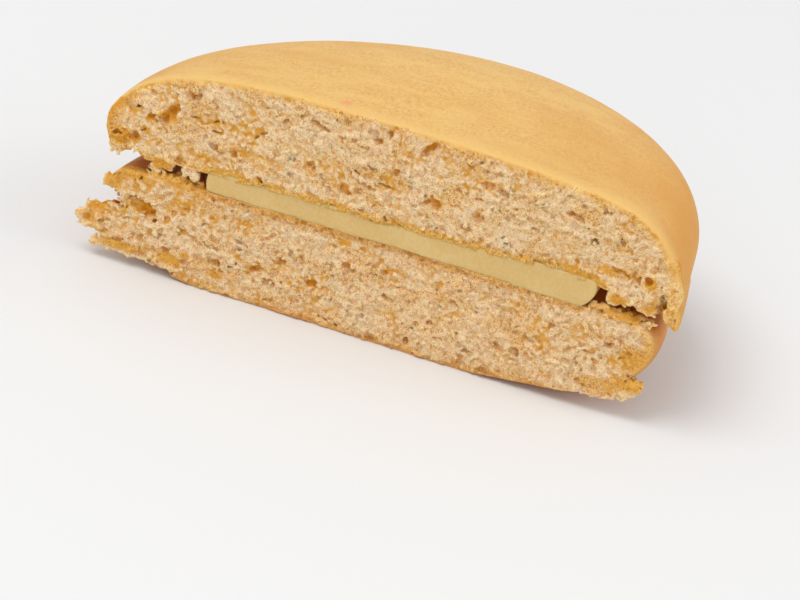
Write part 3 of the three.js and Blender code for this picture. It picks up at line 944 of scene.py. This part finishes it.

# %% [markdown]
# The finest pores are smaller than a face of the mesh, so their shade is painted as dark dots. A cell
# pattern gives round dots. Bending the place it is read at with a little noise makes them uneven.

# %% Pin hole group
pins, enter, leave = group(
    "Pin Holes",
    [("Size", "Float", 1500.0), ("Width", "Float", 0.3), ("Strength", "Float", 1.0)],
    [("Mask", "Float")],
)
where = pins.nodes.new("ShaderNodeTexCoord")
bent = node(pins.nodes, "TexNoise", Scale=1800.0, Detail=1.0)
moved = pins.nodes.new("ShaderNodeVectorMath")
moved.operation = "MULTIPLY_ADD"
moved.inputs[1].default_value = (0.0006, 0.0006, 0.0006)
cells = node(pins.nodes, "TexVoronoi", Randomness=1.0)
pins.links.new(where.outputs["Object"], bent.inputs["Vector"])
pins.links.new(bent.outputs["Color"], moved.inputs[0])
pins.links.new(where.outputs["Object"], moved.inputs[2])
pins.links.new(moved.outputs[0], cells.inputs["Vector"])
pins.links.new(enter.outputs["Size"], cells.inputs["Scale"])
spot = pins.nodes.new("ShaderNodeMapRange")
spot.interpolation_type = "SMOOTHSTEP"
spot.inputs["From Min"].default_value = 0.1
spot.inputs["To Min"].default_value = 1.0
spot.inputs["To Max"].default_value = 0.0
pins.links.new(cells.outputs["Distance"], spot.inputs["Value"])
pins.links.new(enter.outputs["Width"], spot.inputs["From Max"])
mask = pins.nodes.new("ShaderNodeMath")
mask.operation = "MULTIPLY"
pins.links.new(spot.outputs[0], mask.inputs[0])
pins.links.new(enter.outputs["Strength"], mask.inputs[1])
pins.links.new(mask.outputs[0], leave.inputs["Mask"])
print("group", pins.name)

# %% [markdown]
# The oven browns dough in soft clouds. A slow noise, stretched along the cut, blends one colour into
# a second one, and also hands out its mask.

# %% Mottle group
mottle, enter, leave = group(
    "Oven Mottle",
    [("Colour", "Color", (0.8, 0.7, 0.5, 1)), ("Second", "Color", (0.8, 0.6, 0.3, 1)),
     ("Size", "Float", 120.0), ("Strength", "Float", 0.5)],
    [("Colour", "Color"), ("Mask", "Float")],
)
where = mottle.nodes.new("ShaderNodeTexCoord")
drawn = node(mottle.nodes, "Mapping", Scale=(0.45, 1.0, 1.0))
slow = node(mottle.nodes, "TexNoise", Detail=4.0, Roughness=0.55, Distortion=0.4)
mottle.links.new(where.outputs["Object"], drawn.inputs["Vector"])
mottle.links.new(drawn.outputs["Vector"], slow.inputs["Vector"])
mottle.links.new(enter.outputs["Size"], slow.inputs["Scale"])
mask = mottle.nodes.new("ShaderNodeMath")
mask.operation = "MULTIPLY"
mottle.links.new(ranged(mottle, slow.outputs["Fac"], 0.42, 0.66), mask.inputs[0])
mottle.links.new(enter.outputs["Strength"], mask.inputs[1])
clouded = mixed(mottle, enter.outputs["Colour"], enter.outputs["Second"], mask.outputs[0])
mottle.links.new(clouded, leave.inputs["Colour"])
mottle.links.new(mask.outputs[0], leave.inputs["Mask"])
print("group", mottle.name)


# %% [markdown]
# ## Crumb and crust
# The crumb starts pale, and each step lays one thing over it: toasting, moisture from the cream, soft
# clouds, grain, painted shade of pores too small to carve and of the clefts between grains, and painted
# warm shade that deepens with the depth of a pocket. The crust is a grain and two mottlings, deeper in
# colour towards the rim, with painted warm shade near the cream on the lower cake and a lighter line
# where the knife cut it.

# %% Colours of the crumb
def use(tree, shared, **values):
    """A shared group placed in a material. Values are sockets or plain values."""
    placed = tree.nodes.new("ShaderNodeGroup")
    placed.node_tree = shared
    for name, value in values.items():
        if isinstance(value, bpy.types.NodeSocket):
            tree.links.new(value, placed.inputs[name])
        else:
            placed.inputs[name].default_value = value
    return placed


def known(tree, name):
    """A value that each vertex knows."""
    read = tree.nodes.new("ShaderNodeAttribute")
    read.attribute_name = name
    return read.outputs["Fac"]


def crumb_colour(tree, look, toast, damp, cleft, pit):
    """The crumb's colour, with painted shade in pores, clefts and pockets, and a height for bump."""
    yellowed = mixed(tree, CRUMB, look["toasted"], ranged(tree, toast, 0.0, 0.5, 0.0, 0.9))
    browner = mixed(tree, yellowed, look["browned"], ranged(tree, toast, 0.4, 0.95, 0.0, 0.95))
    moist = mixed(tree, browner, look["wet"], ranged(tree, damp, -1.2, -0.4, 0.0, 0.85))
    warm = use(tree, mottle, Colour=moist, Second=look["tint"], Size=420.0, Strength=0.55)
    patch = warm.outputs["Mask"]
    pale = mixed(tree, warm.outputs["Colour"], WHITISH, ranged(tree, toast, 0.4, 1.0, 0.35, 0.1))
    dark = mixed(tree, warm.outputs["Colour"], TAN, 0.55)
    crumb = use(tree, grain, Colour=warm.outputs["Colour"], Pale=pale, Dark=dark, Size=4600.0, Strength=1.0)
    # Dark dots of painted shade, large and small, for pores too small to carve.
    pricked = use(tree, pins, Size=1700.0, Width=0.36, Strength=ranged(tree, patch, 0.0, 0.4, 0.3, 0.9))
    large_pores_shaded = mixed(tree, crumb.outputs["Colour"], LARGE_PORE_SHADE, pricked.outputs["Mask"])
    dotted = use(tree, pins, Size=3300.0, Width=0.32, Strength=ranged(tree, patch, 0.0, 0.4, 0.3, 0.95))
    small_pores_shaded = mixed(tree, large_pores_shaded, SMALL_PORE_SHADE, dotted.outputs["Mask"])
    # Painted warm shade in the clefts between grains.
    cleft_shaded = mixed(tree, small_pores_shaded, CLEFT_SHADE, ranged(tree, cleft, 0.0, 0.26))
    # Painted warm shade in the pockets, deeper in colour the further a pocket goes behind the knife.
    pocket_shaded = mixed(tree, cleft_shaded, SHALLOW_POCKET_SHADE, ranged(tree, pit, 0.40, 0.95))
    return mixed(tree, pocket_shaded, DEEP_POCKET_SHADE, ranged(tree, pit, 0.95, 1.8)), crumb.outputs["Height"]


CRUMB, WHITISH, TAN = srgb(242, 212, 166), srgb(255, 238, 218), srgb(186, 112, 30)
# Painted shade: dark dots for pores, and warm shade for the clefts between grains.
LARGE_PORE_SHADE, SMALL_PORE_SHADE, CLEFT_SHADE = srgb(208, 138, 42), srgb(176, 102, 16), srgb(226, 166, 66)
# Painted warm shade for shallow and deep pockets.
SHALLOW_POCKET_SHADE, DEEP_POCKET_SHADE = srgb(220, 150, 42), srgb(192, 102, 4)
print("crumb colours ready")

# %% [markdown]
# The crust reads its place on the cake. Height tells how far down the rim it is, and the distance to
# one point paints a small pink stain on the dome. Closeness to the cream lays painted warm shade on
# the lower cake's skin, in the gap between the cakes.

# %% Colours of the crust
RIM_STARTS, RIM_ENDS = 0.030, 0.022
CUT_EDGE_STARTS, CUT_EDGE_ENDS = -0.0115, -0.0143
STAIN = (-0.0089, -0.0126, 0.0300)
# The second colour is painted warm shade for the crust near the cream; the first is a real pink stain.
STAIN_PINK, GAP_WARM_SHADE = srgb(240, 144, 106), srgb(226, 122, 16)


def crust_colour(tree, look, damp):
    nodes, links = tree.nodes, tree.links
    spot, edge = look["crust_spot"], look["crust_edge"]
    skin_grain = use(tree, grain, Colour=look["crust"], Pale=edge, Dark=spot, Size=2300.0, Strength=0.75)
    freckled = use(tree, mottle, Colour=skin_grain.outputs["Colour"], Second=edge, Size=330.0, Strength=0.6)
    baked = use(tree, mottle, Colour=freckled.outputs["Colour"], Second=spot, Size=85.0, Strength=0.5)
    where = nodes.new("ShaderNodeTexCoord").outputs["Object"]
    place = nodes.new("ShaderNodeSeparateXYZ")
    links.new(where, place.inputs[0])
    at_rim = ranged(tree, place.outputs["Z"], RIM_STARTS, RIM_ENDS, 0.0, look["rim_share"])
    rimmed = mixed(tree, baked.outputs["Colour"], look["rim"], at_rim)
    away = nodes.new("ShaderNodeVectorMath")
    away.operation = "DISTANCE"
    away.inputs[1].default_value = STAIN
    links.new(where, away.inputs[0])
    at_stain = ranged(tree, away.outputs["Value"], 0.0011, 0.0003, 0.0, 0.85)
    stained = mixed(tree, rimmed, STAIN_PINK, at_stain)
    # Painted warm shade: orange laid on the crust close to the cream, in the shaded gap between the cakes.
    gap_shaded = mixed(tree, stained, GAP_WARM_SHADE, ranged(tree, damp, -10.0, -2.0, 0.0, look["gap_shade_share"]))
    at_cut = ranged(tree, place.outputs["Y"], CUT_EDGE_STARTS, CUT_EDGE_ENDS, 0.0, 0.75)
    return mixed(tree, gap_shaded, edge, at_cut)


print("crust colours ready")

# %% [markdown]
# ## Cake material
# One material covers crust and crumb, because on the real thing one fades into the other. How deep a
# vertex lies below the skin decides which of the two colours shows, and how rough it is. Light enters
# dough and comes out warmer, which is what the subsurface values do.


# %% Cake material
def cake_material(name, look):
    material, nodes, links = new_material(name)
    tree = material.node_tree
    skin, pit, damp, cleft, toast = (known(tree, n) for n in ("skin", "pit", "damp", "cleft", "toast"))
    crumb, relief = crumb_colour(tree, look, toast, damp, cleft, pit)
    crust = crust_colour(tree, look, damp)
    shader = nodes["Principled BSDF"]
    links.new(mixed(tree, crumb, crust, ranged(tree, skin, 0.5, 0.16)), shader.inputs["Base Color"])
    links.new(ranged(tree, skin, 0.5, 0.16, 0.95, 0.5), shader.inputs["Roughness"])
    shader.inputs["Specular IOR Level"].default_value = look["shine"]
    shader.inputs["Subsurface Weight"].default_value = 0.55
    shader.inputs["Subsurface Radius"].default_value = (1.0, 0.6, 0.25)
    shader.inputs["Subsurface Scale"].default_value = 0.0009
    bump = node(nodes, "Bump", Strength=0.9, Distance=0.0002)
    links.new(relief, bump.inputs["Height"])
    links.new(bump.outputs["Normal"], shader.inputs["Normal"])
    return material


# The share of painted warm shade near the cream is nearly full on the lower cake's skin and none on the
# upper's.
GOLDEN = dict(
    crust=srgb(230, 182, 110), crust_spot=srgb(219, 159, 82), crust_edge=srgb(239, 197, 120),
    rim=srgb(221, 148, 52), rim_share=0.8, toasted=srgb(243, 201, 124), browned=srgb(222, 158, 52),
    tint=srgb(228, 178, 86), wet=srgb(222, 166, 60), gap_shade_share=0.0, shine=0.16,
)
TANNED = dict(
    crust=srgb(207, 151, 86), crust_spot=srgb(180, 118, 58), crust_edge=srgb(215, 162, 98),
    rim=srgb(204, 148, 80), rim_share=0.3, toasted=srgb(234, 190, 122), browned=srgb(228, 172, 72),
    tint=srgb(228, 178, 100), wet=srgb(208, 150, 68), gap_shade_share=0.95, shine=0.12,
)
upper_look = cake_material("golden crust and pale crumb", GOLDEN)
lower_look = cake_material("tan skin and pale crumb", TANNED)
upper.data.materials.clear()
lower.data.materials.clear()
upper.data.materials.append(upper_look)
lower.data.materials.append(lower_look)
print("cake materials:", upper_look.name, "and", lower_look.name)

# %% [markdown]
# ## Cream material
# Pale yellow, smooth and slightly translucent, with the faintest clouding and a soft satin shine.

# %% Cream material
cream_look, nodes, links = new_material("pale banana cream")
tree = cream_look.node_tree
cloud = use(tree, mottle, Colour=srgb(217, 182, 113), Second=srgb(223, 191, 127), Size=180.0, Strength=0.8)
fleck = use(tree, grain, Colour=cloud.outputs["Colour"], Pale=srgb(228, 200, 142), Dark=srgb(207, 168, 94),
            Size=2200.0, Strength=0.25)
shader = nodes["Principled BSDF"]
links.new(fleck.outputs["Colour"], shader.inputs["Base Color"])
shader.inputs["Roughness"].default_value = 0.42
shader.inputs["Subsurface Weight"].default_value = 0.4
shader.inputs["Subsurface Radius"].default_value = (1.0, 0.7, 0.3)
shader.inputs["Subsurface Scale"].default_value = 0.0015
bump = node(nodes, "Bump", Strength=0.25, Distance=0.0001)
links.new(fleck.outputs["Height"], bump.inputs["Height"])
links.new(bump.outputs["Normal"], shader.inputs["Normal"])
filling.data.materials.clear()
filling.data.materials.append(cream_look)
print("cream material:", cream_look.name)
